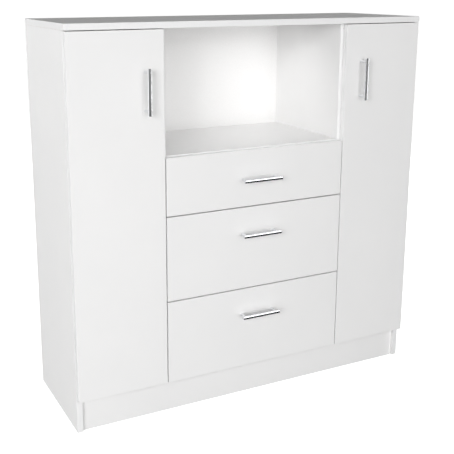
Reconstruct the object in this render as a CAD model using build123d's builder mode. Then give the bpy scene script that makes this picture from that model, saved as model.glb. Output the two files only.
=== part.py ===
"""White sideboard buffet: two doors, three drawers and an open niche on a plinth.

Millimetres, +Z up. The fronts face -Y. The origin is on the floor under the middle of the
whole object, handles included. "u" runs inwards from the outer face of a side panel and
"v" runs backwards from the faces of the fronts, so that left and right share one drawing.
"""

from build123d import *
from collections import namedtuple
from math import cos, radians, sin
import os

os.makedirs("parts", exist_ok=True)

# Overall
width = 1050
depth = 350
glide_height = 3
carcass_height = 1052
board = 16
hardboard = 3
edge_radius = 0.8

# Fronts: lower edges, heights and gaps
bottom_panel_height = 88
front_bottom = glide_height + 92
door_height = 942
front_gap = 3
front_reveal = 1
bumper_gap = 1.5
tall_drawer_front = 230
low_drawer_front = 154
divider_centre = 272.5
niche_floor_top = glide_height + 715
plinth_setback = 10

# Bar handles
handle_spacing = 96
handle_length = 116
handle_bar_radius = 5
handle_post_radius = 4
handle_projection = 32
handle_screw_radius = 2
handle_screw_head = (4, 2.5)
handle_post_bore = (2.05, 10)
handle_saddle_radius = 5.02
handle_bore_radius = 2.3
door_handle_x = 325
door_handle_z = 887.5
tall_front_handle_drop = 74
low_front_handle_drop = 79
handle_screw_bite = 9
handle_bar_chamfer = 0.6

# Shelves and their pins
shelf_clearance = 1
shelf_front_setback = 20
shelf_back_gap = 4
pin_radius = 2.45
pin_bore_radius = 2.55
pin_bore_depth = 10
pin_inset = 37
pin_pitch = 32
pin_reach = 8
pin_collar = (4, 0.8)

# Cam fittings and dowels
fitting_inset = 50
dowel_offset = 32
cam_setback = 34
cam_radius = 7.4
cam_bore_radius = 7.5
cam_height = 12
cam_bore_depth = 12.5
cam_slot = (9, 1.6, 3)
bolt_thread = (2.9, 10.5)
bolt_shank_radius = 2.4
bolt_head = (3.3, 3)
bolt_bore_radius = 3.6
bolt_end_gap = 2
cam_channel_radius = 3.8
thread_bore = (3, 11)
dowel_radius = 3.95
dowel_bore_radius = 4.05
dowel_in_face = 10
dowel_in_edge = 20
dowel_chamfer = 0.8
bore_end_gap = 0.5

# Concealed hinges
hinge_end_distance = 100
cup_centre_u = front_reveal + 22.5
cup_radius = 17.4
cup_bore_radius = 17.5
cup_bore_depth = 12.5
cup_depth = 12
cup_wall = 1
flange_thickness = 1.2
arm_half_width = 8
hinge_pin_radius = 1.5
link_length = 12
link_tilt = -20
link_radius = 2.4
link_half_width = 5.5
arm_pivot = (front_reveal + 22, 14)
plate_screw_spacing = 32
plate_screw_inset = 37
plate_screw = (2.4, 11)
plate_screw_bore = (2.5, 11.5)
plate_screw_head = (3.6, 1.6)
plate_metal = 2.5
plate_half_size = (10, 26)
plate_rib_v = (-16, 18)
plate_rib_top = 25.5
plate_rib_half_height = 6
arm_metal = 1.5
arm_u = (20.5, 27.5)
arm_nose_v = 19
arm_ear_root_v = 30
arm_tail = 20
arm_ear_radius = 2.8
link_bore_radius = 1.56
link_tip_pin = (1.2, 3)
flange_ring_radius = 18.6
flange_span_u = (cup_centre_u + 1.5, cup_centre_u + 17.5)
flange_half_height = 28
flange_screw_u = cup_centre_u + 9.5
flange_screw_z = 22.5

# Drawer boxes and their roller runners
box_board = 12
box_length = 300
box_lift = 24
box_side_gap = 12.5
tall_box_side = 160
low_box_side = 100
bottom_rise = 8
back_drop = 10
groove_depth = 5
groove_play = 0.1
runner_metal = 1.2
runner_length = 300
runner_height = 26
runner_drop = 4
runner_setback = 2
runner_flange_reach = 10
carrier_rise = 18
carrier_reach = 8.3
carrier_under = 11
roller_radius = 8
roller_clearance = 0.3
roller_width = 5.6
roller_bore_radius = 2.06
axle_radius = 2
rear_axle_play = 2
front_axle_play = 2.2
roller_chamfer = 0.5
axle_head = (3, 0.6)
roller_inset = 10
small_screw_radius = 1.75
small_bore_radius = 1.85
runner_screw_length = 11
runner_screw_bore = (1.85, 11.5)
carrier_screw_length = 6.5
carrier_screw_reaches = (40, 240)
cup_screw_length = 11
small_screw_head = (3, 1.1)
seat_gap = 0.05

# Small things
glide_radius = 7.5
glide_nail = (0.95, 14.5)
glide_nail_bore = (1, 15)
bumper = (3, 1.2)
nail_radius = 0.7
nail_length = 20
nail_head = (1.75, 0.6)
nail_pitch = 118
nail_edge = 4
back_low_edge = 2
back_high_edge = 4
back_panel_gap = 1
back_edge_cover = 12
bumper_inset = 3.25
bumper_corner = 12

# Planes and levels worked out from the sizes above
half_width = width / 2
front_y = -(depth + handle_projection) / 2 + handle_projection
back_y = front_y + depth
carcass_back = back_y - hardboard
carcass_front = front_y + board + bumper_gap
top_z = glide_height + carcass_height
top_under = top_z - board
bottom_z = glide_height + bottom_panel_height
bay_floor = bottom_z + board
side_inner = half_width - board
divider_outer = divider_centre + board / 2
divider_inner = divider_centre - board / 2
door_top = front_bottom + door_height
door_inner_edge = divider_centre + front_gap / 2
drawer_half_width = divider_centre - front_gap / 2
shelf_gap = (top_under - bay_floor - 2 * board) / 3
shelf_levels = {
    "lower": bay_floor + shelf_gap,
    "upper": bay_floor + 2 * shelf_gap + board,
}
hinge_levels = (
    front_bottom + hinge_end_distance,
    front_bottom + door_height / 2,
    door_top - hinge_end_distance,
)
box_half = divider_inner - box_side_gap
box_back = front_y + board + box_length
drawer_levels = {
    "bottom": (front_bottom, tall_drawer_front, tall_box_side),
    "middle": (front_bottom + tall_drawer_front + front_gap, tall_drawer_front, tall_box_side),
    "top": (front_bottom + 2 * (tall_drawer_front + front_gap), low_drawer_front, low_box_side),
}
handle_drops = {tall_drawer_front: tall_front_handle_drop, low_drawer_front: low_front_handle_drop}
sides = {"left": -1, "right": 1}
from_start = (Align.CENTER, Align.CENTER, Align.MIN)


def save(builder, name):
    """Label a finished piece and write it to its own file."""
    builder.part.label = name
    export_step(builder.part, f"parts/{name}.step")


def block(x, y, z, mode=Mode.ADD):
    """Box that fills three spans, in the part being built."""
    with Locations(((x[0] + x[1]) / 2, (y[0] + y[1]) / 2, (z[0] + z[1]) / 2)):
        Box(abs(x[1] - x[0]), abs(y[1] - y[0]), abs(z[1] - z[0]), mode=mode)


def rod(start, direction, radius, length, mode=Mode.ADD):
    """Cylinder that grows from a point along a direction."""
    with Locations(Plane(origin=start, z_dir=direction)):
        Cylinder(radius, length, align=from_start, mode=mode)


def uv(hand, u, v):
    """Plan position from the distances inwards and backwards, hand -1 left and +1 right."""
    return (hand * (half_width - u), front_y + v)


def uv_block(hand, u, v, z, mode=Mode.ADD):
    """Box that fills spans of u, v and z."""
    x_span = (hand * (half_width - u[0]), hand * (half_width - u[1]))
    y_span = (front_y + v[0], front_y + v[1])
    block(x_span, y_span, z, mode)


# Butt joints of the carcass: the edge of one panel meets the face of another. Each has a bolt
# that a cam in the butting panel pulls tight, and a dowel beside it.
Butt = namedtuple("Butt", "butting facing bolt dowel inward cam_face")
butts = []


def add_butts(butting, facing, points, step, inward, cam_face):
    """Record a bolt at each point, with its dowel one step away."""
    for point, sign in points:
        bolt = Vector(*point)
        butts.append(
            Butt(butting, facing, bolt, bolt + Vector(*step) * sign, Vector(*inward), Vector(*cam_face))
        )


front_fitting = carcass_front + fitting_inset
back_fitting = carcass_back - fitting_inset
along_y = (0, dowel_offset, 0)
for name, hand in sides.items():
    side_x = hand * (side_inner + board / 2)
    divider_x = hand * divider_centre
    for panel, x, cam_side in ((f"{name}_side_panel", side_x, -hand), (f"{name}_divider", divider_x, hand)):
        heads = [((x, front_fitting, top_under), 1), ((x, back_fitting, top_under), -1)]
        add_butts(panel, "top_panel", heads, along_y, (0, 0, -1), (cam_side, 0, 0))
    feet = [((divider_x, front_fitting, bay_floor), 1), ((divider_x, back_fitting, bay_floor), -1)]
    add_butts(f"{name}_divider", "bottom_panel", feet, along_y, (0, 0, 1), (hand, 0, 0))
    ends = [(side_inner, bottom_z + board / 2, "bottom_panel", f"{name}_side_panel")]
    ends.append((divider_inner, niche_floor_top - board / 2, "niche_floor", f"{name}_divider"))
    for x, z, panel, facing in ends:
        points = [((hand * x, front_fitting, z), 1), ((hand * x, back_fitting, z), -1)]
        add_butts(panel, facing, points, along_y, (-hand, 0, 0), (0, 0, -1))
    plinth_y = carcass_front + plinth_setback + board / 2
    plinth_point = [((hand * side_inner, plinth_y, bottom_z / 2), 1)]
    plinth_step = (0, 0, bottom_z / 4)
    add_butts("plinth_board", f"{name}_side_panel", plinth_point, plinth_step, (-hand, 0, 0), (0, 1, 0))


def drill(panel):
    """Bore the panel being built for each bolt, cam and dowel that it holds."""
    for butt in butts:
        if panel == butt.facing:
            rod(butt.bolt, -butt.inward, *thread_bore, Mode.SUBTRACT)
            rod(butt.dowel, -butt.inward, dowel_bore_radius, dowel_in_face + bore_end_gap, Mode.SUBTRACT)
        if panel == butt.butting:
            mouth = butt.bolt + butt.inward * cam_setback + butt.cam_face * board / 2
            rod(butt.bolt, butt.inward, bolt_bore_radius, cam_setback, Mode.SUBTRACT)
            rod(butt.dowel, butt.inward, dowel_bore_radius, dowel_in_edge + bore_end_gap, Mode.SUBTRACT)
            rod(mouth, -butt.cam_face, cam_bore_radius, cam_bore_depth, Mode.SUBTRACT)


def pin_points(levels):
    """Height and depth of each pin bore around the given shelf levels."""
    heights = [level - pin_bore_radius for level in levels]
    depths = (carcass_front + pin_inset, carcass_back - pin_inset)
    return [(y, z) for y in depths for z in heights]


def bore_pin_rows(face_x, direction):
    """Rows of shelf pin bores going into a face of the panel being built."""
    levels = [z + pin_pitch * n for z in shelf_levels.values() for n in (-1, 0, 1)]
    for y, z in pin_points(levels):
        rod((face_x, y, z), (direction, 0, 0), pin_bore_radius, pin_bore_depth, Mode.SUBTRACT)


def glide_places(hand):
    """Centres of the two floor glides under a side panel."""
    x = hand * (side_inner + board / 2)
    return [(x, carcass_front + fitting_inset), (x, carcass_back - fitting_inset)]


def plate_screw_points(hand):
    """Where the mounting plate screws enter the inner face of a side panel."""
    y = carcass_front + plate_screw_inset
    offsets = (-plate_screw_spacing / 2, plate_screw_spacing / 2)
    return [(hand * side_inner, y, z + dz) for z in hinge_levels for dz in offsets]


def carcass_side(name, hand):
    """Side panel, from the floor glides up to the underside of the top."""
    with BuildPart() as side_panel:
        block(
            (hand * side_inner, hand * half_width),
            (carcass_front, carcass_back),
            (glide_height, top_under),
        )
        fillet(side_panel.edges().filter_by(Axis.Z), edge_radius)
        drill(f"{name}_side_panel")
        bore_pin_rows(hand * side_inner, hand)
        for x, y in glide_places(hand):
            rod((x, y, glide_height), (0, 0, 1), *glide_nail_bore, Mode.SUBTRACT)
        for point in plate_screw_points(hand):
            rod(point, (hand, 0, 0), *plate_screw_bore, Mode.SUBTRACT)
    save(side_panel, f"{name}_side_panel")


def runner_base(level):
    """Height of the lower flange of the cabinet runner under a drawer."""
    return level + box_lift - runner_drop


def runner_screw_points(hand):
    """Where the cabinet runner screws enter the inner face of a divider."""
    ends = (carcass_front + pin_inset, carcass_back - 2 * pin_inset)
    levels = [runner_base(level) + runner_height / 2 for level, _, _ in drawer_levels.values()]
    return [(hand * divider_inner, y, z) for y in ends for z in levels]


def divider(name, hand):
    """Upright between a door bay and the middle bay."""
    with BuildPart() as upright:
        block(
            (hand * divider_inner, hand * divider_outer),
            (carcass_front, carcass_back),
            (bay_floor, top_under),
        )
        drill(f"{name}_divider")
        bore_pin_rows(hand * divider_outer, -hand)
        for point in runner_screw_points(hand):
            rod(point, (hand, 0, 0), *runner_screw_bore, Mode.SUBTRACT)
    save(upright, f"{name}_divider")


for name, hand in sides.items():
    carcass_side(name, hand)
    divider(name, hand)

with BuildPart() as top_panel:
    block((-half_width, half_width), (front_y, carcass_back), (top_under, top_z))
    fillet(top_panel.edges(), edge_radius)
    drill("top_panel")
save(top_panel, "top_panel")

with BuildPart() as bottom_panel:
    block((-side_inner, side_inner), (carcass_front, carcass_back), (bottom_z, bay_floor))
    drill("bottom_panel")
save(bottom_panel, "bottom_panel")

with BuildPart() as niche_floor:
    block(
        (-divider_inner, divider_inner),
        (carcass_front, carcass_back),
        (niche_floor_top - board, niche_floor_top),
    )
    fillet(niche_floor.edges().filter_by(Axis.X).group_by(Axis.Y)[0], edge_radius)
    drill("niche_floor")
save(niche_floor, "niche_floor")

with BuildPart() as plinth_board:
    plinth_face = carcass_front + plinth_setback
    block((-side_inner, side_inner), (plinth_face, plinth_face + board), (0, bottom_z))
    drill("plinth_board")
save(plinth_board, "plinth_board")

# Back panels and their nails. The heads lie flush, and the shanks are driven into the boards.
back_low = bottom_z + back_low_edge
back_high = top_z - back_high_edge
back_spans = {
    "left": (-side_inner - back_edge_cover, -divider_centre - back_panel_gap / 2),
    "centre": (-divider_centre + back_panel_gap / 2, divider_centre - back_panel_gap / 2),
    "right": (divider_centre + back_panel_gap / 2, side_inner + back_edge_cover),
}


def spread(low, high, pitch):
    """Even positions from low to high, no further apart than the pitch."""
    count = int((high - low) / pitch) + 1
    return [low + (high - low) * n / count for n in range(count + 1)]


def nail_points(x_low, x_high):
    """Nail positions around one back panel, along all four edges."""
    uprights = [(x, z) for x in (x_low + nail_edge, x_high - nail_edge) for z in nail_heights]
    inner_x = spread(x_low + nail_edge, x_high - nail_edge, nail_pitch)[1:-1]
    levels = (bottom_z + board / 2, top_under + board / 2)
    return uprights + [(x, z) for x in inner_x for z in levels]


nail_heights = spread(bay_floor + board, top_under - board, nail_pitch)
for name, (x_low, x_high) in back_spans.items():
    with BuildPart() as back_panel:
        block((x_low, x_high), (carcass_back, back_y), (back_low, back_high))
        for x, z in nail_points(x_low, x_high):
            rod((x, back_y, z), (0, -1, 0), nail_head[0], nail_head[1], Mode.SUBTRACT)
            rod((x, back_y, z), (0, -1, 0), nail_radius, hardboard, Mode.SUBTRACT)
    save(back_panel, f"back_panel_{name}")

with BuildPart() as back_panel_nails:
    for x_low, x_high in back_spans.values():
        for x, z in nail_points(x_low, x_high):
            rod((x, back_y, z), (0, -1, 0), nail_head[0], nail_head[1])
            rod((x, back_y, z), (0, -1, 0), nail_radius, nail_length)
save(back_panel_nails, "back_panel_nails")

# Shelves behind the doors, and the pins that carry them
for name, hand in sides.items():
    for level_name, level in shelf_levels.items():
        with BuildPart() as shelf:
            block(
                (hand * (divider_outer + shelf_clearance), hand * (side_inner - shelf_clearance)),
                (carcass_front + shelf_front_setback, carcass_back - shelf_back_gap),
                (level, level + board),
            )
            fillet(shelf.edges().filter_by(Axis.X).group_by(Axis.Y)[0], edge_radius)
        save(shelf, f"{name}_shelf_{level_name}")

with BuildPart() as shelf_pins:
    for hand in sides.values():
        for face_x, outward in ((hand * side_inner, -hand), (hand * divider_outer, hand)):
            for y, z in pin_points(shelf_levels.values()):
                rod((face_x, y, z), (-outward, 0, 0), pin_radius, pin_bore_depth - bore_end_gap)
                rod((face_x, y, z), (outward, 0, 0), pin_radius, pin_reach)
                rod((face_x, y, z), (outward, 0, 0), pin_collar[0], pin_collar[1])
save(shelf_pins, "shelf_pins")

# Carcass fittings
with BuildPart() as cam_fittings:
    for butt in butts:
        centre = butt.bolt + butt.inward * cam_setback
        seat = centre + butt.cam_face * (board / 2 - (cam_bore_depth + cam_height) / 2)
        rod(seat, butt.cam_face, cam_radius, cam_height)
        rod(centre, -butt.inward, cam_channel_radius, cam_radius * 2, Mode.SUBTRACT)
        slot_top = seat + butt.cam_face * cam_height
        with Locations(Plane(origin=slot_top, x_dir=butt.inward, z_dir=butt.cam_face)):
            Box(*cam_slot, mode=Mode.SUBTRACT)
            Box(*cam_slot, rotation=(0, 0, 90), mode=Mode.SUBTRACT)
        shank_end = cam_setback - bolt_end_gap - bolt_head[1]
        rod(butt.bolt, -butt.inward, *bolt_thread)
        rod(butt.bolt, butt.inward, bolt_shank_radius, shank_end)
        rod(butt.bolt + butt.inward * shank_end, butt.inward, *bolt_head)
save(cam_fittings, "cam_fittings")

with BuildPart() as wooden_dowels:
    for butt in butts:
        face_end = butt.dowel - butt.inward * dowel_in_face
        rod(face_end, butt.inward, dowel_radius, dowel_in_face + dowel_in_edge)
    chamfer(wooden_dowels.edges().filter_by(GeomType.CIRCLE), dowel_chamfer)
save(wooden_dowels, "wooden_dowels")

with BuildPart() as floor_glides:
    for x, y in glide_places(sides["left"]) + glide_places(sides["right"]):
        rod((x, y, 0), (0, 0, 1), glide_radius, glide_height)
        rod((x, y, glide_height), (0, 0, 1), *glide_nail)
save(floor_glides, "floor_glides")

# Soft bumpers on the front edges of the dividers, behind the corners of the fronts
with BuildPart() as front_bumpers:
    for hand in sides.values():
        for z in (front_bottom + bumper_corner, door_top - bumper_corner):
            rod((hand * (divider_outer - bumper_inset), carcass_front, z), (0, -1, 0), *bumper)
        for level, height, _ in drawer_levels.values():
            z = level + height - bumper_corner
            rod((hand * (divider_inner + bumper_inset), carcass_front, z), (0, -1, 0), *bumper)
save(front_bumpers, "front_bumpers")


def handle(name, centre, along):
    """Bar on two posts, screwed on from behind the front."""
    x, z = centre
    bar_y = front_y - handle_projection + handle_bar_radius
    bar_start = Vector(x, bar_y, z) - Vector(*along) * handle_length / 2
    post_offsets = (-handle_spacing / 2, handle_spacing / 2)
    with BuildPart() as bar:
        rod(bar_start, along, handle_bar_radius, handle_length)
        chamfer(bar.edges().filter_by(GeomType.CIRCLE), handle_bar_chamfer)
    with BuildPart() as posts:
        for offset in post_offsets:
            foot = Vector(x, front_y, z) + Vector(*along) * offset
            rod(foot, (0, -1, 0), handle_post_radius, front_y - bar_y)
            rod(foot, (0, -1, 0), *handle_post_bore, Mode.SUBTRACT)
        rod(bar_start, along, handle_saddle_radius, handle_length, Mode.SUBTRACT)
    with BuildPart() as screws:
        for offset in post_offsets:
            seat = Vector(x, front_y + board, z) + Vector(*along) * offset
            rod(seat, (0, 1, 0), *handle_screw_head)
            rod(seat, (0, -1, 0), handle_screw_radius, board + handle_screw_bite)
    with BuildPart() as whole:
        add(bar.part)
        add(posts.part)
        add(screws.part)
    save(whole, name)


def bore_handle(centre, along):
    """Two bores through the front being built, for the handle screws."""
    for offset in (-handle_spacing / 2, handle_spacing / 2):
        point = Vector(centre[0], front_y, centre[1]) + Vector(*along) * offset
        rod(point, (0, 1, 0), handle_bore_radius, board, Mode.SUBTRACT)


def door(name, hand):
    """Door panel, with bores for three hinge cups, their screws and the handle."""
    centre = (hand * door_handle_x, door_handle_z)
    with BuildPart() as door_panel:
        block(
            (hand * door_inner_edge, hand * (half_width - front_reveal)),
            (front_y, front_y + board),
            (front_bottom, door_top),
        )
        fillet(door_panel.edges(), edge_radius)
        for z in hinge_levels:
            mouth = (*uv(hand, cup_centre_u, board), z)
            rod(mouth, (0, -1, 0), cup_bore_radius, cup_bore_depth, Mode.SUBTRACT)
            for dz in (-flange_screw_z, flange_screw_z):
                bore = (*uv(hand, flange_screw_u, board), z + dz)
                rod(bore, (0, -1, 0), small_bore_radius, cup_screw_length, Mode.SUBTRACT)
        bore_handle(centre, (0, 0, 1))
    save(door_panel, f"{name}_door_panel")
    handle(f"{name}_door_handle", centre, (0, 0, 1))


def hinge_cups(name, hand):
    """Three pressed cups with their flanges and screws, set in the back of a door."""
    with BuildPart() as cups:
        for z in hinge_levels:
            mouth = (*uv(hand, cup_centre_u, board), z)
            rod(mouth, (0, -1, 0), cup_radius, cup_depth)
            rod(mouth, (0, 1, 0), flange_ring_radius, flange_thickness)
            uv_block(
                hand,
                flange_span_u,
                (board, board + flange_thickness),
                (z - flange_half_height, z + flange_half_height),
            )
            inside = cup_radius - cup_wall
            top_of_flange = (*uv(hand, cup_centre_u, board + flange_thickness), z)
            rod(top_of_flange, (0, -1, 0), inside, cup_depth + flange_thickness - cup_wall, Mode.SUBTRACT)
            for dz in (-flange_screw_z, flange_screw_z):
                hole = (*uv(hand, flange_screw_u, board + flange_thickness), z + dz)
                rod(hole, (0, -1, 0), small_bore_radius, flange_thickness, Mode.SUBTRACT)
    with BuildPart() as screws:
        for z in hinge_levels:
            for dz in (-flange_screw_z, flange_screw_z):
                seat = (*uv(hand, flange_screw_u, board + flange_thickness + seat_gap), z + dz)
                rod(seat, (0, 1, 0), *small_screw_head)
                rod(seat, (0, -1, 0), small_screw_radius, cup_screw_length)
    with BuildPart() as whole:
        add(cups.part)
        add(screws.part)
    save(whole, f"{name}_hinge_cups")


def arm_ear(hand, low):
    """Side wall of an arm at a height, with its ear reaching to the pivot inside the cup."""
    with BuildSketch(Plane.XY.offset(low)) as ear:
        with BuildLine():
            Polyline(
                uv(hand, arm_u[0], arm_ear_root_v),
                uv(hand, arm_pivot[0] - arm_ear_radius, arm_pivot[1]),
                uv(hand, arm_pivot[0] + arm_ear_radius, arm_pivot[1]),
                uv(hand, arm_u[1], arm_nose_v),
                uv(hand, arm_u[1], arm_ear_root_v),
                close=True,
            )
        make_face()
        with Locations(uv(hand, *arm_pivot)):
            Circle(arm_ear_radius)
    extrude(ear.sketch, amount=arm_metal)


def hinge_arms(name, hand):
    """Three mounting plates with their arms, and the screws that hold them to a side panel."""
    plate_v = board + bumper_gap + plate_screw_inset
    plate_top = board + plate_metal
    arm_end_v = plate_v + arm_tail
    with BuildPart() as plates:
        for z in hinge_levels:
            uv_block(
                hand,
                (board, plate_top),
                (plate_v - plate_half_size[0], plate_v + plate_half_size[0]),
                (z - plate_half_size[1], z + plate_half_size[1]),
            )
            uv_block(
                hand,
                (plate_top, plate_rib_top),
                (plate_v + plate_rib_v[0], plate_v + plate_rib_v[1]),
                (z - plate_rib_half_height, z + plate_rib_half_height),
            )
        for x, y, z in plate_screw_points(hand):
            rod((x, y, z), (-hand, 0, 0), plate_screw_bore[0], plate_metal, Mode.SUBTRACT)
    with BuildPart() as arms:
        for z in hinge_levels:
            web_u = (arm_u[1] - arm_metal, arm_u[1])
            uv_block(hand, web_u, (arm_nose_v, arm_end_v), (z - arm_half_width, z + arm_half_width))
            for low in (z - arm_half_width, z + arm_half_width - arm_metal):
                uv_block(hand, arm_u, (arm_ear_root_v, arm_end_v), (low, low + arm_metal))
                arm_ear(hand, low)
            pin_start = (*uv(hand, *arm_pivot), z - arm_half_width)
            rod(pin_start, (0, 0, 1), hinge_pin_radius, 2 * arm_half_width)
    with BuildPart() as screws:
        for x, y, z in plate_screw_points(hand):
            seat = (x - hand * (plate_metal + seat_gap), y, z)
            rod(seat, (-hand, 0, 0), *plate_screw_head)
            rod(seat, (hand, 0, 0), plate_screw[0], plate_screw[1] + plate_metal)
    with BuildPart() as whole:
        add(plates.part)
        add(arms.part)
        add(screws.part)
    save(whole, f"{name}_hinge_arms")


def hinge_links(name, hand):
    """Three links, each turning on the pin of an arm and reaching into the cup."""
    tip_u = arm_pivot[0] + link_length * cos(radians(link_tilt))
    tip_v = arm_pivot[1] + link_length * sin(radians(link_tilt))
    start = Vector(*uv(hand, *arm_pivot))
    tip = Vector(*uv(hand, tip_u, tip_v))
    middle = (start + tip) * 0.5
    with BuildPart() as links:
        for z in hinge_levels:
            with BuildSketch(Plane.XY.offset(z - link_half_width)):
                with Locations(middle):
                    SlotCenterToCenter(link_length, 2 * link_radius, rotation=-hand * link_tilt)
                with Locations(start):
                    Circle(link_bore_radius, mode=Mode.SUBTRACT)
            extrude(amount=2 * link_half_width)
            pin_half = link_half_width + link_tip_pin[1]
            rod((tip.X, tip.Y, z - pin_half), (0, 0, 1), link_tip_pin[0], 2 * pin_half)
    save(links, f"{name}_hinge_links")


for name, hand in sides.items():
    door(name, hand)
    hinge_cups(name, hand)
    hinge_arms(name, hand)
    hinge_links(name, hand)


def drawer_front(name, level, height):
    """Front with a groove for the drawer bottom and bores for the handle."""
    drop = handle_drops[height]
    centre = (0, level + height - drop)
    groove_z = level + box_lift + bottom_rise
    groove_x = box_half - box_board + groove_depth
    with BuildPart() as front:
        block(
            (-drawer_half_width, drawer_half_width),
            (front_y, front_y + board),
            (level, level + height),
        )
        fillet(front.edges(), edge_radius)
        block(
            (-groove_x, groove_x),
            (front_y + board - groove_depth, front_y + board),
            (groove_z - groove_play, groove_z + hardboard + groove_play),
            Mode.SUBTRACT,
        )
        bore_handle(centre, (1, 0, 0))
    save(front, f"{name}_drawer_front")
    handle(f"{name}_drawer_handle", centre, (1, 0, 0))


def drawer_box(name, level, side_height):
    """Two sides, a back and a hardboard bottom held in their grooves."""
    base = level + box_lift
    groove_z = base + bottom_rise
    box_front = front_y + board
    inner = box_half - box_board
    for side_name, hand in sides.items():
        with BuildPart() as box_side:
            block((hand * inner, hand * box_half), (box_front, box_back), (base, base + side_height))
            fillet(box_side.edges().filter_by(Axis.Y).group_by(Axis.Z)[-1], edge_radius)
            block(
                (hand * inner, hand * (inner + groove_depth)),
                (box_front, box_back),
                (groove_z - groove_play, groove_z + hardboard + groove_play),
                Mode.SUBTRACT,
            )
            for reach in carrier_screw_reaches:
                foot = (hand * (box_half - box_board / 2), box_front + reach, base)
                rod(foot, (0, 0, 1), small_bore_radius, carrier_screw_length, Mode.SUBTRACT)
        save(box_side, f"{name}_drawer_{side_name}_side")
    with BuildPart() as box_back_panel:
        block(
            (-inner, inner),
            (box_back - box_board, box_back),
            (groove_z + hardboard + groove_play, base + side_height - back_drop),
        )
        fillet(box_back_panel.edges().filter_by(Axis.X).group_by(Axis.Z)[-1], edge_radius)
    save(box_back_panel, f"{name}_drawer_back")
    reach = inner + groove_depth - 2 * groove_play
    with BuildPart() as box_bottom:
        block(
            (-reach, reach),
            (box_front - groove_depth + 2 * groove_play, box_back),
            (groove_z, groove_z + hardboard),
        )
    save(box_bottom, f"{name}_drawer_bottom")


def drawer_runners(name, level):
    """Carriers under both sides of a drawer, each with a flange that rides on the front roller."""
    base = level + box_lift
    flange_z = runner_base(level) + carrier_rise
    box_front = front_y + board
    roller_z = runner_base(level) + runner_metal + roller_clearance + roller_radius
    roller_y = box_back - roller_inset
    web_x = box_half + runner_metal
    span_y = (box_front + runner_setback, box_back)
    with BuildPart() as carriers:
        for hand in sides.values():
            block((hand * box_half, hand * web_x), span_y, (base - runner_metal, flange_z + runner_metal))
            block(
                (hand * (box_half - carrier_under), hand * web_x),
                span_y,
                (base - runner_metal, base),
            )
            block(
                (hand * box_half, hand * (web_x + carrier_reach)),
                span_y,
                (flange_z, flange_z + runner_metal),
            )
            axle_length = roller_width + rear_axle_play
            rod((hand * web_x, roller_y, roller_z), (hand, 0, 0), axle_radius, axle_length)
            head = (hand * (web_x + axle_length), roller_y, roller_z)
            rod(head, (hand, 0, 0), *axle_head)
            for reach in carrier_screw_reaches:
                hole = (hand * (box_half - box_board / 2), box_front + reach, base - runner_metal)
                rod(hole, (0, 0, 1), small_bore_radius, runner_metal, Mode.SUBTRACT)
    with BuildPart() as screws:
        for hand in sides.values():
            for reach in carrier_screw_reaches:
                under = base - runner_metal - seat_gap
                seat = (hand * (box_half - box_board / 2), box_front + reach, under)
                rod(seat, (0, 0, -1), *small_screw_head)
                rod(seat, (0, 0, 1), small_screw_radius, carrier_screw_length)
    with BuildPart() as whole:
        add(carriers.part)
        add(screws.part)
    save(whole, f"{name}_drawer_runners")


def roller_pair(name, y, z, near_x):
    """Two rollers on one axis, left and right, from a distance off the middle outwards."""
    with BuildPart() as rollers:
        for hand in sides.values():
            rod((hand * near_x, y, z), (hand, 0, 0), roller_radius, roller_width)
        chamfer(rollers.edges().filter_by(GeomType.CIRCLE), roller_chamfer)
        for hand in sides.values():
            rod((hand * near_x, y, z), (hand, 0, 0), roller_bore_radius, roller_width, Mode.SUBTRACT)
    save(rollers, name)


rear_roller_x = box_half + runner_metal + rear_axle_play / 2
front_roller_x = divider_inner - runner_metal - roller_width - front_axle_play / 2
for name, (level, height, side_height) in drawer_levels.items():
    drawer_front(name, level, height)
    drawer_box(name, level, side_height)
    drawer_runners(name, level)
    base = runner_base(level)
    rear_z = base + runner_metal + roller_clearance + roller_radius
    roller_pair(f"{name}_drawer_rear_rollers", box_back - roller_inset, rear_z, rear_roller_x)
    front_z = base + carrier_rise - roller_clearance - roller_radius
    front_roller_y = carcass_front + runner_setback + roller_inset
    roller_pair(f"{name}_drawer_front_rollers", front_roller_y, front_z, front_roller_x)


def cabinet_runners(name, hand):
    """Three C-shaped runners on a divider, each with the axle of its front roller."""
    web_x = divider_inner - runner_metal
    flange_x = web_x - runner_flange_reach + runner_metal
    front = carcass_front + runner_setback
    span_y = (front, front + runner_length)
    with BuildPart() as runners:
        for level, _, _ in drawer_levels.values():
            base = runner_base(level)
            block((hand * web_x, hand * divider_inner), span_y, (base, base + runner_height))
            for z in (base, base + runner_height - runner_metal):
                block((hand * flange_x, hand * web_x), span_y, (z, z + runner_metal))
            axle_z = base + carrier_rise - roller_clearance - roller_radius
            axle = (hand * web_x, front + roller_inset, axle_z)
            axle_length = roller_width + front_axle_play
            rod(axle, (-hand, 0, 0), axle_radius, axle_length)
            rod((hand * (web_x - axle_length), axle[1], axle_z), (-hand, 0, 0), *axle_head)
        for x, y, z in runner_screw_points(hand):
            rod((x, y, z), (-hand, 0, 0), small_bore_radius, runner_metal, Mode.SUBTRACT)
    with BuildPart() as screws:
        for x, y, z in runner_screw_points(hand):
            seat = (x - hand * (runner_metal + seat_gap), y, z)
            rod(seat, (-hand, 0, 0), *small_screw_head)
            rod(seat, (hand, 0, 0), small_screw_radius, runner_screw_length)
    with BuildPart() as whole:
        add(runners.part)
        add(screws.part)
    save(whole, f"{name}_cabinet_runners")


for name, hand in sides.items():
    cabinet_runners(name, hand)
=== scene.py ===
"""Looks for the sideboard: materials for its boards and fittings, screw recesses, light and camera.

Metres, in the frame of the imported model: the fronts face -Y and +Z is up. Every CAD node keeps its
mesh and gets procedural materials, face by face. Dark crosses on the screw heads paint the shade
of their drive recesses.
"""

import math
from collections import namedtuple

import bmesh
import bpy
from mathutils import Matrix, Vector


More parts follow.
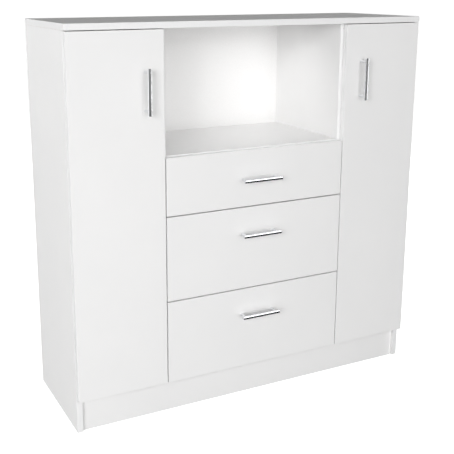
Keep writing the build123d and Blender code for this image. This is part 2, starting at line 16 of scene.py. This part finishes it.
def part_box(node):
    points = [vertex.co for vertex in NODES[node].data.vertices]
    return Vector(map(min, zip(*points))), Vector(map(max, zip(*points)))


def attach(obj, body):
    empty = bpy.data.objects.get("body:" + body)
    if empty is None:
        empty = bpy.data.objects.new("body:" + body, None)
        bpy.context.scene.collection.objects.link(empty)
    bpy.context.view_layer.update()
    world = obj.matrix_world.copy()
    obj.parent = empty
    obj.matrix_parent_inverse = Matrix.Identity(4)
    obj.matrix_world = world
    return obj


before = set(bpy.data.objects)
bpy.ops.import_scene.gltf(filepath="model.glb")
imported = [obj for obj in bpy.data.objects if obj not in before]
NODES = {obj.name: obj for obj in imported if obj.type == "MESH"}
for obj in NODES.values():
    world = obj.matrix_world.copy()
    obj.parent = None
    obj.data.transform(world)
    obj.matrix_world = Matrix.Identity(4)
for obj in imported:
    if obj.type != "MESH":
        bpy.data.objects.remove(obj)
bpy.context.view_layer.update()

SIDES = ("left", "right")
DRAWERS = ("top", "middle", "bottom")
MM = 0.001

# Base tone of each white surface, and of the dark card
CARCASS_TONE = 0.86
FRONT_TONE = 0.86
DRAWER_TONE = 0.84
LACQUER_TONE = 0.86
BAND_TONE = 0.87
RUNNER_TONE = 0.78
STAGE_TONE = 0.87
DARK_CARD_TONE = 0.02

# The noise values at which a surface takes its darker and its lighter shade
SHADE_STOPS = (0.3, 0.7)

# The glue line of an edge band: its distance from the board's edge, its half width, how strongly it
# shows, and its tone as a share of the board's
GLUE_LINE_INSET = 1.0 * MM
GLUE_LINE_HALF_WIDTH = 0.14 * MM
GLUE_LINE_SHARE = 0.35
GLUE_LINE_TONE = 0.62

# The weave that the press screen leaves on the back of hardboard
WEAVE_PITCH = 1.6 * MM

# How faces are told apart: nearness to a plane of the node's box, reach of a rounded edge, and how
# much of the normal points out of the box. Points that agree to so many decimals are one point.
ON_PLANE = 0.05 * MM
EDGE_REACH = 0.95 * MM
SQUARE_ON = 0.9
FACES_OUT = 0.01
SAME_POINT_DECIMALS = 6

# Screws are the only solids shorter than this in their nodes. The cross in a screw's head has arms
# whose length and half width are shares of the head's radius.
SCREW_LENGTH = 16 * MM
# The cross is a dark sheet a hair proud of the head: painted shade of a drive recess.
RECESS_PROUD = 0.02 * MM
RECESS_DEPTH = 0.8 * MM
RECESS_ARM = 0.56
RECESS_HALF_WIDTH = 0.13

# Floor and backdrop, which neither light nor shade the sideboard
STAGE_RADIUS = 60
FLOOR_GLOW = 0.85
BACKDROP_GLOW = 1.0

# Cards that only show in reflections: a bright one above, and a dark one that stands in front.
# Their tilt from lying flat is in degrees.
Card = namedtuple("Card", "name place tilt half_height tone glow")
CARD_HALF_WIDTH = 4.5
CARDS = (
    Card("reflector_card", (0, -3.6, 3.6), tilt=30, half_height=3.0, tone=STAGE_TONE, glow=2.0),
    Card("dark_card", (0, -5.2, 1.6), tilt=90, half_height=1.1, tone=DARK_CARD_TONE, glow=0.0),
)

# The surround's level by the sine of the elevation, and its share behind the sideboard
SURROUND = (
    (-1.0, 0.015),
    (-0.18, 0.02),
    (-0.14, 0.26),
    (0.05, 0.4),
    (0.3, 0.44),
    (0.7, 0.28),
    (1.0, 0.25),
)
BEHIND_LEVEL = 0.35

# Panels of light, with their spread in degrees. Glossy surfaces mirror only the two at the sides.
Panel = namedtuple("Panel", "name place aim size watts mirrored spread", defaults=(False, 180))
PANELS = (
    Panel("key", (-0.6, -6.0, 1.35), (0, 0, 0.6), (4.0, 2.4), 108),
    Panel("niche_light", (0.03, -0.07, 1.034), (0.02, -0.06, 0.72), (0.34, 0.14), 0.23, spread=150),
    Panel("upper_key", (-4.0, -3.9, 2.0), (0, 0, 0.7), (2.0, 2.0), 125),
    Panel("front_bounce", (-0.6, -2.2, 0.06), (0, 0, 1.0), (3.2, 1.6), 16.5),
    Panel("left_bounce", (-2.2, 0.2, 0.06), (-0.5, 0, 0.5), (1.6, 2.4), 8),
    Panel("left_fill", (-3.6, 0.5, 1.1), (-0.5, 0, 0.45), (2.0, 2.2), 37, mirrored=True),
    Panel("right_fill", (3.6, 0.5, 1.1), (0.5, 0, 0.45), (2.0, 2.2), 95, mirrored=True),
    Panel("back_fill", (-1.4, 4.2, 1.3), (0, 0.2, 0.5), (2.4, 2.0), 95),
)

# Camera: its place, and its heading to the right of +Y and tilt down in degrees. The focal length
# and the image point on the lens axis are in pixels, and the sensor's width is in millimetres.
CAMERA_PLACE = (-1.089, -2.002, 1.14)
CAMERA_AZIMUTH = 26.71
CAMERA_DOWN = 13.43
CAMERA_FOCAL_PX = 814.0
CAMERA_CENTRE_PX = (205, 180)
IMAGE_PX = 454
SENSOR = 36.0
CLIP = (0.05, 200)


# Materials


def grey(value, warm=0.0):
    """A near-white colour; warm moves it from blue towards yellow."""
    return (value * (1 + warm), value, value * (1 - warm))


def opaque(colour):
    return (*colour, 1)


def fill_ramp(ramp, stops):
    """Sets the stops of a colour ramp, each a position and a colour."""
    while len(ramp.elements) < len(stops):
        ramp.elements.new(0.5)
    for element, (position, colour) in zip(ramp.elements, stops):
        element.position = position
        element.color = opaque(colour)


class Look:
    """A material with a Principled shader, and short calls for the nodes that feed it."""

    def __init__(self, name, roughness=0.4, metallic=0.0):
        self.material = bpy.data.materials.new(name)
        self.material.use_nodes = True
        self.tree = self.material.node_tree
        self.tree.nodes.clear()
        output = self.tree.nodes.new("ShaderNodeOutputMaterial")
        self.shader = self.tree.nodes.new("ShaderNodeBsdfPrincipled")
        self.tree.links.new(self.shader.outputs[0], output.inputs[0])
        self.shader.inputs["Roughness"].default_value = roughness
        self.shader.inputs["Metallic"].default_value = metallic
        self.place = self.tree.nodes.new("ShaderNodeTexCoord").outputs["Object"]

    def feed(self, socket, value):
        """Sets a socket to a constant, or links it to another node's output."""
        if isinstance(value, bpy.types.NodeSocket):
            self.tree.links.new(value, socket)
        else:
            socket.default_value = value

    def set(self, name, value):
        self.feed(self.shader.inputs[name], value)

    def math(self, operation, *values, clamp=False):
        node = self.tree.nodes.new("ShaderNodeMath")
        node.operation = operation
        node.use_clamp = clamp
        for socket, value in zip(node.inputs, values):
            self.feed(socket, value)
        return node.outputs[0]

    def stretched(self, scale):
        node = self.tree.nodes.new("ShaderNodeMapping")
        node.inputs["Scale"].default_value = scale
        self.feed(node.inputs["Vector"], self.place)
        return node.outputs[0]

    def noise(self, scale, detail=2.0, roughness=0.5, distortion=0.0, vector=None):
        node = self.tree.nodes.new("ShaderNodeTexNoise")
        node.inputs["Scale"].default_value = scale
        node.inputs["Detail"].default_value = detail
        node.inputs["Roughness"].default_value = roughness
        node.inputs["Distortion"].default_value = distortion
        self.feed(node.inputs["Vector"], vector or self.place)
        return node.outputs["Fac"]

    def cells(self, scale, feature="F1", vector=None, output="Distance"):
        node = self.tree.nodes.new("ShaderNodeTexVoronoi")
        node.feature = feature
        node.inputs["Scale"].default_value = scale
        self.feed(node.inputs["Vector"], vector or self.place)
        return node.outputs[output]

    def red(self, colour):
        """The red part of a colour, as one number."""
        node = self.tree.nodes.new("ShaderNodeSeparateColor")
        self.feed(node.inputs[0], colour)
        return node.outputs[0]

    def ramp(self, value, *stops):
        node = self.tree.nodes.new("ShaderNodeValToRGB")
        fill_ramp(node.color_ramp, stops)
        self.feed(node.inputs["Fac"], value)
        return node.outputs["Color"]

    def shades(self, noise, dark, light):
        """Two close colours that a noise runs between."""
        return self.ramp(noise, *zip(SHADE_STOPS, (dark, light)))

    def mix(self, share, first, second):
        node = self.tree.nodes.new("ShaderNodeMix")
        node.data_type = "RGBA"
        self.feed(node.inputs["Factor"], share)
        colour_sockets = [socket for socket in node.inputs if socket.type == "RGBA"]
        for socket, colour in zip(colour_sockets, (first, second)):
            self.feed(socket, colour)
        return next(socket for socket in node.outputs if socket.type == "RGBA")

    def span(self, value, low, high):
        """The value, which runs from 0 to 1, spread from low to high."""
        node = self.tree.nodes.new("ShaderNodeMapRange")
        node.inputs["To Min"].default_value = low
        node.inputs["To Max"].default_value = high
        self.feed(node.inputs["Value"], value)
        return node.outputs[0]

    def bump(self, height, depth, strength):
        node = self.tree.nodes.new("ShaderNodeBump")
        node.inputs["Strength"].default_value = strength
        node.inputs["Distance"].default_value = depth
        self.feed(node.inputs["Height"], height)
        return node.outputs[0]

    def axes(self):
        node = self.tree.nodes.new("ShaderNodeSeparateXYZ")
        self.feed(node.inputs[0], self.place)
        return list(node.outputs)


def edge_distance(look, edges):
    """Distance from a point to the nearest of the given box planes, each (axis, place)."""
    axes = look.axes()
    found = None
    for axis, place in edges:
        gap = look.math("ABSOLUTE", look.math("SUBTRACT", axes[axis], place))
        found = gap if found is None else look.math("MINIMUM", found, gap)
    return found


def melamine(name, tone, edges):
    """White melamine face: pearl texture, faint mottling, and the glue line of its edge band."""
    look = Look(name)
    mottle = look.noise(scale=4.5, detail=3, roughness=0.6)
    paper = look.noise(scale=160, detail=4, roughness=0.7)
    base = look.shades(mottle, grey(tone - 0.012, warm=0.002), grey(tone + 0.008, warm=0.004))
    fleck = opaque(grey(tone - 0.1, warm=0.004))
    colour = look.mix(look.math("MULTIPLY", paper, 0.05), base, fleck)
    if edges:
        from_edge = edge_distance(look, edges)
        off_line = look.math("ABSOLUTE", look.math("SUBTRACT", from_edge, GLUE_LINE_INSET))
        fade = look.math("DIVIDE", off_line, GLUE_LINE_HALF_WIDTH)
        line = look.math("SUBTRACT", 1.0, fade, clamp=True)
        glue = opaque(grey(tone * GLUE_LINE_TONE, warm=0.02))
        colour = look.mix(look.math("MULTIPLY", line, GLUE_LINE_SHARE), colour, glue)
    look.set("Base Color", colour)
    look.set("Roughness", look.span(look.noise(scale=38, detail=3, roughness=0.6), 0.33, 0.43))
    coarse = look.math("MULTIPLY", look.noise(scale=420), 0.8)
    pearl = look.math("ADD", look.noise(scale=1150), coarse)
    look.set("Normal", look.bump(pearl, depth=0.035 * MM, strength=0.5))
    look.set("Specular IOR Level", 0.42)
    return look.material


def edge_band(name, tone):
    """PVC edge band: smoother than the face, with faint scraper lines along it."""
    look = Look(name)
    streak = look.noise(scale=60, detail=3, roughness=0.6, vector=look.stretched((6, 6, 0.6)))
    look.set("Base Color", look.shades(streak, grey(tone - 0.01), grey(tone + 0.006)))
    look.set("Roughness", look.span(look.noise(scale=210), 0.26, 0.38))
    look.set("Normal", look.bump(streak, depth=0.02 * MM, strength=0.4))
    return look.material


def chipboard(name):
    """Raw particle board: layered tan chips with dark gaps, rough and unsealed."""
    look = Look(name, roughness=0.88)
    chip_scale = 520
    flattened = look.stretched((1, 1, 0.6))
    chips = look.red(look.cells(chip_scale, vector=flattened, output="Color"))
    wood = look.ramp(
        chips,
        (0.0, (0.36, 0.24, 0.13)),
        (0.45, (0.56, 0.42, 0.26)),
        (1.0, (0.72, 0.58, 0.39)),
    )
    gaps = look.cells(chip_scale, feature="DISTANCE_TO_EDGE", vector=flattened)
    dark = look.math("SUBTRACT", 1.0, look.math("MULTIPLY", gaps, 14.0), clamp=True)
    gap_colour = opaque((0.17, 0.11, 0.06))
    look.set("Base Color", look.mix(look.math("MULTIPLY", dark, 0.6), wood, gap_colour))
    grain = look.math("ADD", look.noise(scale=900, detail=4, roughness=0.7), gaps)
    look.set("Normal", look.bump(grain, depth=0.2 * MM, strength=0.7))
    return look.material


def hardboard_face(name, tone):
    """Painted side of the hardboard: thin white lacquer over fine fibre."""
    look = Look(name)
    fibre = look.noise(scale=240, detail=5, roughness=0.7, distortion=0.6)
    dark, light = grey(tone - 0.02, warm=0.004), grey(tone + 0.01, warm=0.006)
    look.set("Base Color", look.ramp(fibre, (0.35, dark), (0.65, light)))
    look.set("Roughness", look.span(look.noise(scale=55, detail=3), 0.4, 0.52))
    look.set("Normal", look.bump(fibre, depth=0.06 * MM, strength=0.45))
    return look.material


def hardboard_back(name, across):
    """Unpainted side of the hardboard: brown fibre with the press screen's weave."""
    look = Look(name, roughness=0.82)
    axes = look.axes()
    first, second = (
        look.math("SINE", look.math("MULTIPLY", axes[axis], 2 * math.pi / WEAVE_PITCH))
        for axis in range(3)
        if axis != across
    )
    weave = look.math("MULTIPLY", first, second)
    fibre = look.noise(scale=170, detail=6, roughness=0.75, distortion=1.2)
    patch = look.noise(scale=7, detail=4, roughness=0.6)
    brown = look.ramp(
        look.math("ADD", look.math("MULTIPLY", fibre, 0.7), look.math("MULTIPLY", patch, 0.3)),
        (0.3, (0.17, 0.09, 0.045)),
        (0.52, (0.29, 0.17, 0.088)),
        (0.72, (0.4, 0.26, 0.15)),
    )
    pits = look.span(weave, 0.0, 0.28)
    look.set("Base Color", look.mix(pits, brown, opaque((0.13, 0.07, 0.035))))
    height = look.math("ADD", look.math("MULTIPLY", weave, 0.5), fibre)
    look.set("Normal", look.bump(height, depth=0.12 * MM, strength=0.8))
    return look.material


def chrome(name):
    """Polished chrome plate: mirror-like, with the faintest buffing haze."""
    look = Look(name, metallic=1.0)
    haze = look.noise(scale=130, detail=3, roughness=0.6)
    look.set("Base Color", look.shades(haze, (0.8, 0.81, 0.83), (0.86, 0.865, 0.88)))
    look.set("Roughness", look.span(look.noise(scale=420), 0.035, 0.085))
    look.set("Normal", look.bump(look.noise(scale=260), depth=0.01 * MM, strength=0.15))
    return look.material


def plated_steel(name, dark, light, roughness, grain=(1, 1, 1)):
    """Pressed and plated steel: soft sheen, drawn grain and small tone changes."""
    look = Look(name, metallic=1.0)
    drawn = look.noise(scale=300, detail=4, roughness=0.65, vector=look.stretched(grain))
    look.set("Base Color", look.shades(drawn, dark, light))
    sheen = look.noise(scale=90, detail=3, roughness=0.6)
    look.set("Roughness", look.span(sheen, roughness - 0.07, roughness + 0.08))
    look.set("Normal", look.bump(drawn, depth=0.02 * MM, strength=0.35))
    return look.material


def powder_coat(name, tone):
    """Epoxy powder coat on the runners: off-white with orange peel."""
    look = Look(name)
    cloud = look.noise(scale=35, detail=3)
    dark, light = grey(tone - 0.02, warm=0.008), grey(tone + 0.01, warm=0.012)
    look.set("Base Color", look.shades(cloud, dark, light))
    look.set("Roughness", look.span(look.noise(scale=150), 0.34, 0.46))
    peel = look.cells(scale=620, feature="SMOOTH_F1")
    look.set("Normal", look.bump(peel, depth=0.05 * MM, strength=0.5))
    return look.material


def moulded(name, dark, light, roughness, clear=0.0):
    """Moulded plastic or silicone: faint flow marks and a fine spark-eroded skin."""
    look = Look(name)
    flow = look.noise(scale=70, detail=3, roughness=0.6, distortion=0.8)
    look.set("Base Color", look.shades(flow, dark, light))
    look.set("Roughness", look.span(look.noise(scale=500), roughness - 0.05, roughness + 0.07))
    look.set("Normal", look.bump(look.noise(scale=1600), depth=0.02 * MM, strength=0.4))
    look.set("Transmission Weight", clear)
    return look.material


def beech(name, along):
    """Beech dowel: straight pale grain with short dark flecks."""
    look = Look(name, roughness=0.62)
    squeeze = [9.0, 9.0, 9.0]
    squeeze[along] = 0.8
    fibres = look.stretched(squeeze)
    grain = look.noise(scale=110, detail=5, roughness=0.65, distortion=0.3, vector=fibres)
    tint = look.ramp(
        grain,
        (0.3, (0.5, 0.34, 0.2)),
        (0.55, (0.66, 0.49, 0.32)),
        (0.8, (0.75, 0.6, 0.42)),
    )
    look.set("Base Color", tint)
    look.set("Normal", look.bump(grain, depth=0.08 * MM, strength=0.5))
    return look.material


def glowing(name, tone, glow):
    """A stage surface with a faint cloudiness and some light of its own."""
    look = Look(name, roughness=0.7)
    patch = look.noise(scale=1.1, detail=3)
    look.set("Base Color", look.shades(patch, grey(tone - 0.01), grey(tone + 0.01)))
    look.set("Normal", look.bump(look.noise(scale=260, detail=3), depth=0.05 * MM, strength=0.3))
    look.set("Emission Color", opaque(grey(1)))
    look.set("Emission Strength", glow)
    look.set("Specular IOR Level", 0.1)
    return look.material


# Which faces of a CAD node take which finish


def dress(node, materials, choose):
    """Gives a node its materials, and each face the one whose number choose(face) returns."""
    mesh = NODES[node].data
    mesh.materials.clear()
    for material in materials:
        mesh.materials.append(material)
    for face in mesh.polygons:
        face.material_index = choose(face)


def dress_whole(node, material):
    """Gives all of a node one material."""
    dress(node, (material,), lambda face: 0)


def thin_axis(low, high):
    return min(range(3), key=lambda axis: high[axis] - low[axis])


def long_axis(low, high):
    return max(range(3), key=lambda axis: high[axis] - low[axis])


def dress_board(node, tone, banded):
    """Melamine faces, edge band on the named edges, raw chipboard in bores and on other edges."""
    low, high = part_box(node)
    across = thin_axis(low, high)
    planes = {(axis, -1): low[axis] for axis in range(3)}
    planes.update({(axis, 1): high[axis] for axis in range(3)})
    broad = [plane for plane in planes if plane[0] == across]
    narrow = [plane for plane in planes if plane[0] != across]
    face_look, band_look, raw_look = range(3)

    def lies_on(face, plane, reach, least):
        axis, side = plane
        near = abs(face.center[axis] - planes[plane]) <= reach
        return near and face.normal[axis] * side > least

    def choose(face):
        if any(lies_on(face, plane, ON_PLANE, SQUARE_ON) for plane in broad):
            return face_look
        for plane in narrow:
            if lies_on(face, plane, EDGE_REACH, FACES_OUT):
                return band_look if plane in banded else raw_look
        return raw_look

    seams = [(plane[0], planes[plane]) for plane in banded]
    faces = melamine(f"melamine_{node}", tone, seams)
    dress(node, (faces, BAND, CHIPBOARD), choose)


def dress_hardboard(node, back_side):
    """White lacquer on one side of a hardboard panel, bare fibre on the other and at its edges."""
    across = thin_axis(*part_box(node))
    lacquer = hardboard_face(f"lacquer_{node}", LACQUER_TONE)
    fibre = hardboard_back(f"fibre_{node}", across)

    def choose(face):
        return 0 if face.normal[across] * back_side < -SQUARE_ON else 1

    dress(node, (lacquer, fibre), choose)


def point_key(point):
    """The same key for all points that agree closely."""
    return tuple(round(c, SAME_POINT_DECIMALS) for c in point)


def solids_of(node):
    """For each face of a node, the box of the separate solid that it belongs to."""
    mesh = NODES[node].data
    spots = {}
    spot_of = []
    for vertex in mesh.vertices:
        spot_of.append(spots.setdefault(point_key(vertex.co), len(spots)))
    parent = list(range(len(spots)))

    def root(spot):
        while parent[spot] != spot:
            parent[spot] = parent[parent[spot]]
            spot = parent[spot]
        return spot

    for face in mesh.polygons:
        first = root(spot_of[face.vertices[0]])
        for v in face.vertices[1:]:
            parent[root(spot_of[v])] = first
    boxes = {}
    for vertex, spot in zip(mesh.vertices, spot_of):
        box = boxes.setdefault(root(spot), [vertex.co.copy(), vertex.co.copy()])
        box[0] = Vector(map(min, box[0], vertex.co))
        box[1] = Vector(map(max, box[1], vertex.co))
    return [boxes[root(spot_of[face.vertices[0]])] for face in mesh.polygons]


def dress_solids(node, materials, pick):
    """Gives each separate solid of a node the material whose number pick(low, high) returns."""
    boxes = solids_of(node)
    dress(node, materials, lambda face: int(pick(*boxes[face.index])))


FRONT_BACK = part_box("left_door_panel")[1].y


def is_screw(low, high):
    return max(high - low) < SCREW_LENGTH


def is_left_screw(low, high):
    return is_screw(low, high) and high.x < 0


def is_right_screw(low, high):
    return is_screw(low, high) and low.x > 0


def behind_front(low, high):
    """Whether a solid reaches behind the fronts, as only the screws of a handle do."""
    return high.y > FRONT_BACK


BAND = edge_band("edge_band", BAND_TONE)
CHIPBOARD = chipboard("raw_chipboard")
CHROME = chrome("polished_chrome")
NICKEL = plated_steel("nickel_plate", (0.55, 0.54, 0.52), (0.7, 0.69, 0.67), 0.26, (1, 1, 0.25))
ZINC = plated_steel("zinc_plate", (0.52, 0.54, 0.57), (0.68, 0.7, 0.73), 0.36)
CAST = plated_steel("zinc_casting", (0.42, 0.43, 0.45), (0.56, 0.57, 0.59), 0.46)
# Near black: painted shade standing in for the drive recesses of the screw heads
RECESS_SHADE = plated_steel("screw_recess_painted_shade", (0.06, 0.06, 0.065), (0.12, 0.12, 0.125), 0.5)
RUNNER = powder_coat("runner_powder_coat", RUNNER_TONE)
NYLON = moulded("nylon", (0.74, 0.73, 0.69), (0.82, 0.81, 0.78), 0.32)
GLIDE = moulded("glide_plastic", (0.76, 0.76, 0.74), (0.82, 0.82, 0.8), 0.38)
SILICONE = moulded("bumper_silicone", (0.8, 0.8, 0.79), (0.88, 0.88, 0.87), 0.2, clear=0.5)
DOWELS = [beech(f"beech_{axis}", i) for i, axis in enumerate("xyz")]

# Sides of a node's box, each an axis and a direction along it
LEFT, RIGHT, FRONT, BACK, LOW, HIGH = (0, -1), (0, 1), (1, -1), (1, 1), (2, -1), (2, 1)

for side in SIDES:
    dress_board(f"{side}_side_panel", CARCASS_TONE, (FRONT, BACK))
    dress_board(f"{side}_divider", CARCASS_TONE, (FRONT,))
    dress_board(f"{side}_shelf_lower", CARCASS_TONE, (FRONT,))
    dress_board(f"{side}_shelf_upper", CARCASS_TONE, (FRONT,))
    dress_board(f"{side}_door_panel", FRONT_TONE, (LEFT, RIGHT, LOW, HIGH))
    dress_solids(f"{side}_door_handle", (CHROME, ZINC), behind_front)
    dress_solids(f"{side}_hinge_arms", (NICKEL, ZINC), is_screw)
    dress_solids(f"{side}_hinge_cups", (NICKEL, ZINC), is_screw)
    dress_whole(f"{side}_hinge_links", NICKEL)
    dress_solids(f"{side}_cabinet_runners", (RUNNER, ZINC), is_screw)
for drawer in DRAWERS:
    dress_board(f"{drawer}_drawer_front", FRONT_TONE, (LEFT, RIGHT, LOW, HIGH))
    for part in ("left_side", "right_side", "back"):
        dress_board(f"{drawer}_drawer_{part}", DRAWER_TONE, (HIGH,))
    dress_hardboard(f"{drawer}_drawer_bottom", back_side=-1)
    dress_solids(f"{drawer}_drawer_handle", (CHROME, ZINC), behind_front)
    dress_solids(f"{drawer}_drawer_runners", (RUNNER, ZINC), is_screw)
    for end in ("front", "rear"):
        dress_whole(f"{drawer}_drawer_{end}_rollers", NYLON)
for part in ("left", "centre", "right"):
    dress_hardboard(f"back_panel_{part}", back_side=1)
dress_board("top_panel", CARCASS_TONE, (LEFT, RIGHT, FRONT, BACK))
dress_board("bottom_panel", CARCASS_TONE, (FRONT,))
dress_board("niche_floor", CARCASS_TONE, (FRONT,))
dress_board("plinth_board", CARCASS_TONE, (HIGH,))
dress_solids("wooden_dowels", DOWELS, long_axis)
dress_whole("cam_fittings", CAST)
dress_whole("back_panel_nails", ZINC)
dress_whole("shelf_pins", NICKEL)
dress_whole("floor_glides", GLIDE)
dress_whole("front_bumpers", SILICONE)


# Painted shade of the drive recesses: dark crosses on the screw heads


def cross_outline(arm, half):
    """Corners of a cross with arms of a length and a half width, three to each quarter turn."""
    corners = [(half, arm), (-half, arm), (-half, half)]
    outline = []
    for quarter in range(4):
        outline += corners
        corners = [(-v, u) for u, v in corners]
    return outline


def cross_prism(shape, centre, axis, radius):
    """Adds a closed cross-shaped prism, square to an axis, sunk into a screw head; painted recess
    shade.
    """
    outline = cross_outline(radius * RECESS_ARM, radius * RECESS_HALF_WIDTH)
    turn = Vector(axis).to_track_quat("Z", "Y").to_matrix()
    rings = []
    for level in (RECESS_PROUD, -RECESS_DEPTH):
        points = [turn @ Vector((u, v, level)) + Vector(centre) for u, v in outline]
        rings.append([shape.verts.new(point) for point in points])
    top, bottom = rings
    shape.faces.new(top)
    shape.faces.new(bottom[::-1])
    for i in range(len(outline)):
        shape.faces.new((top[i - 1], bottom[i - 1], bottom[i], top[i]))


def screw_heads(node, is_head, axis):
    """Centre of the outer face, and radius, of each screw head; axis points out of the head."""
    along = max(range(3), key=lambda i: abs(axis[i]))
    across = (along + 1) % 3
    heads = {}
    for low, high in solids_of(node):
        if is_head(low, high):
            centre = (low + high) / 2
            centre[along] = high[along] if axis[along] > 0 else low[along]
            heads[point_key(centre)] = (high[across] - low[across]) / 2
    return heads


def add_recess_shade_crosses(body, groups):
    """One piece with the painted recess shade, a dark cross, of every screw head on a body."""
    shape = bmesh.new()
    for node, is_head, axis in groups:
        for centre, radius in screw_heads(node, is_head, axis).items():
            cross_prism(shape, centre, axis, radius)
    bmesh.ops.recalc_face_normals(shape, faces=shape.faces)
    mesh = bpy.data.meshes.new(f"{body}_painted_recess_shades")
    shape.to_mesh(mesh)
    shape.free()
    mesh.materials.append(RECESS_SHADE)
    piece = bpy.data.objects.new(mesh.name, mesh)
    bpy.context.scene.collection.objects.link(piece)
    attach(piece, body)


INWARD = {"left": (1, 0, 0), "right": (-1, 0, 0)}
TO_BACK = (0, 1, 0)
carcass_screws = []
for side in SIDES:
    carcass_screws.append((f"{side}_hinge_arms", is_screw, INWARD[side]))
    carcass_screws.append((f"{side}_cabinet_runners", is_screw, INWARD[side]))
    door_screws = (
        (f"{side}_hinge_cups", is_screw, TO_BACK),
        (f"{side}_door_handle", behind_front, TO_BACK),
    )
    add_recess_shade_crosses(f"{side}_door", door_screws)
add_recess_shade_crosses("carcass", carcass_screws)
for drawer in DRAWERS:
    drawer_screws = (
        (f"{drawer}_drawer_runners", is_left_screw, INWARD["right"]),
        (f"{drawer}_drawer_runners", is_right_screw, INWARD["left"]),
        (f"{drawer}_drawer_handle", behind_front, TO_BACK),
    )
    add_recess_shade_crosses(f"{drawer}_drawer", drawer_screws)


# Floor, backdrop, light and camera


def stage_piece(name, shape, material):
    """A stage object that the camera sees and that neither lights nor shades the sideboard."""
    mesh = bpy.data.meshes.new(name)
    shape.to_mesh(mesh)
    shape.free()
    mesh.materials.append(material)
    piece = bpy.data.objects.new(name, mesh)
    piece.visible_diffuse = False
    piece.visible_glossy = False
    piece.visible_shadow = False
    bpy.context.scene.collection.objects.link(piece)
    return piece


def make_stage():
    ground = bmesh.new()
    bmesh.ops.create_circle(ground, cap_ends=True, radius=STAGE_RADIUS, segments=96)
    stage_piece("floor", ground, glowing("floor", STAGE_TONE, FLOOR_GLOW))
    wall = bmesh.new()
    bmesh.ops.create_uvsphere(wall, u_segments=64, v_segments=32, radius=STAGE_RADIUS)
    stage_piece("backdrop", wall, glowing("backdrop", STAGE_TONE, BACKDROP_GLOW))


def make_card(card):
    """A tilted rectangle that glossy surfaces mirror and the camera doesn't see."""
    shape = bmesh.new()
    bmesh.ops.create_grid(shape, x_segments=8, y_segments=4, size=1)
    reach = Matrix.Diagonal((CARD_HALF_WIDTH, card.half_height, 1, 1))
    turn = Matrix.Rotation(math.radians(card.tilt), 4, "X")
    shape.transform(Matrix.Translation(card.place) @ turn @ reach)
    piece = stage_piece(card.name, shape, glowing(card.name, card.tone, card.glow))
    piece.visible_glossy = True
    piece.visible_camera = False


def make_panel(panel):
    """A soft panel of light that faces a point."""
    data = bpy.data.lights.new(panel.name, "AREA")
    data.shape = "RECTANGLE"
    data.size, data.size_y = panel.size
    data.energy = panel.watts
    data.spread = math.radians(panel.spread)
    lamp = bpy.data.objects.new(panel.name, data)
    lamp.visible_glossy = panel.mirrored
    lamp.visible_camera = False
    lamp.location = panel.place
    towards = Vector(panel.aim) - Vector(panel.place)
    lamp.rotation_euler = towards.to_track_quat("-Z", "Y").to_euler()
    bpy.context.scene.collection.objects.link(lamp)


def make_world():
    """Soft studio surround: brightest just above eye level, dark underfoot and dimmer behind."""
    world = bpy.data.worlds.new("studio")
    bpy.context.scene.world = world
    world.use_nodes = True
    tree = world.node_tree
    tree.nodes.clear()
    place = tree.nodes.new("ShaderNodeTexCoord")
    split = tree.nodes.new("ShaderNodeSeparateXYZ")
    height = tree.nodes.new("ShaderNodeMapRange")
    height.inputs["From Min"].default_value = -1.0
    depth = tree.nodes.new("ShaderNodeMapRange")
    depth.inputs["From Min"].default_value = -1.0
    depth.inputs["To Min"].default_value = 1.0
    depth.inputs["To Max"].default_value = BEHIND_LEVEL
    ramp = tree.nodes.new("ShaderNodeValToRGB")
    fill_ramp(ramp.color_ramp, [((sine + 1) / 2, grey(level)) for sine, level in SURROUND])
    light = tree.nodes.new("ShaderNodeBackground")
    output = tree.nodes.new("ShaderNodeOutputWorld")
    for source, target in (
        (place.outputs["Generated"], split.inputs[0]),
        (split.outputs["Z"], height.inputs["Value"]),
        (height.outputs[0], ramp.inputs["Fac"]),
        (ramp.outputs["Color"], light.inputs["Color"]),
        (split.outputs["Y"], depth.inputs["Value"]),
        (depth.outputs[0], light.inputs["Strength"]),
        (light.outputs[0], output.inputs["Surface"]),
    ):
        tree.links.new(source, target)


def make_camera():
    data = bpy.data.cameras.new("camera")
    data.sensor_width = SENSOR
    data.lens = CAMERA_FOCAL_PX / IMAGE_PX * SENSOR
    data.shift_x = (IMAGE_PX / 2 - CAMERA_CENTRE_PX[0]) / IMAGE_PX
    data.shift_y = (CAMERA_CENTRE_PX[1] - IMAGE_PX / 2) / IMAGE_PX
    data.clip_start, data.clip_end = CLIP
    camera = bpy.data.objects.new("camera", data)
    azimuth, down = math.radians(CAMERA_AZIMUTH), math.radians(CAMERA_DOWN)
    flat = math.cos(down)
    towards = Vector((math.sin(azimuth) * flat, math.cos(azimuth) * flat, -math.sin(down)))
    turn = towards.to_track_quat("-Z", "Y").to_matrix().to_4x4()
    camera.matrix_world = Matrix.Translation(CAMERA_PLACE) @ turn
    bpy.context.scene.collection.objects.link(camera)
    bpy.context.scene.camera = camera


make_stage()
for card in CARDS:
    make_card(card)
make_world()
for panel in PANELS:
    make_panel(panel)
make_camera()
bpy.context.scene.view_settings.view_transform = "Standard"
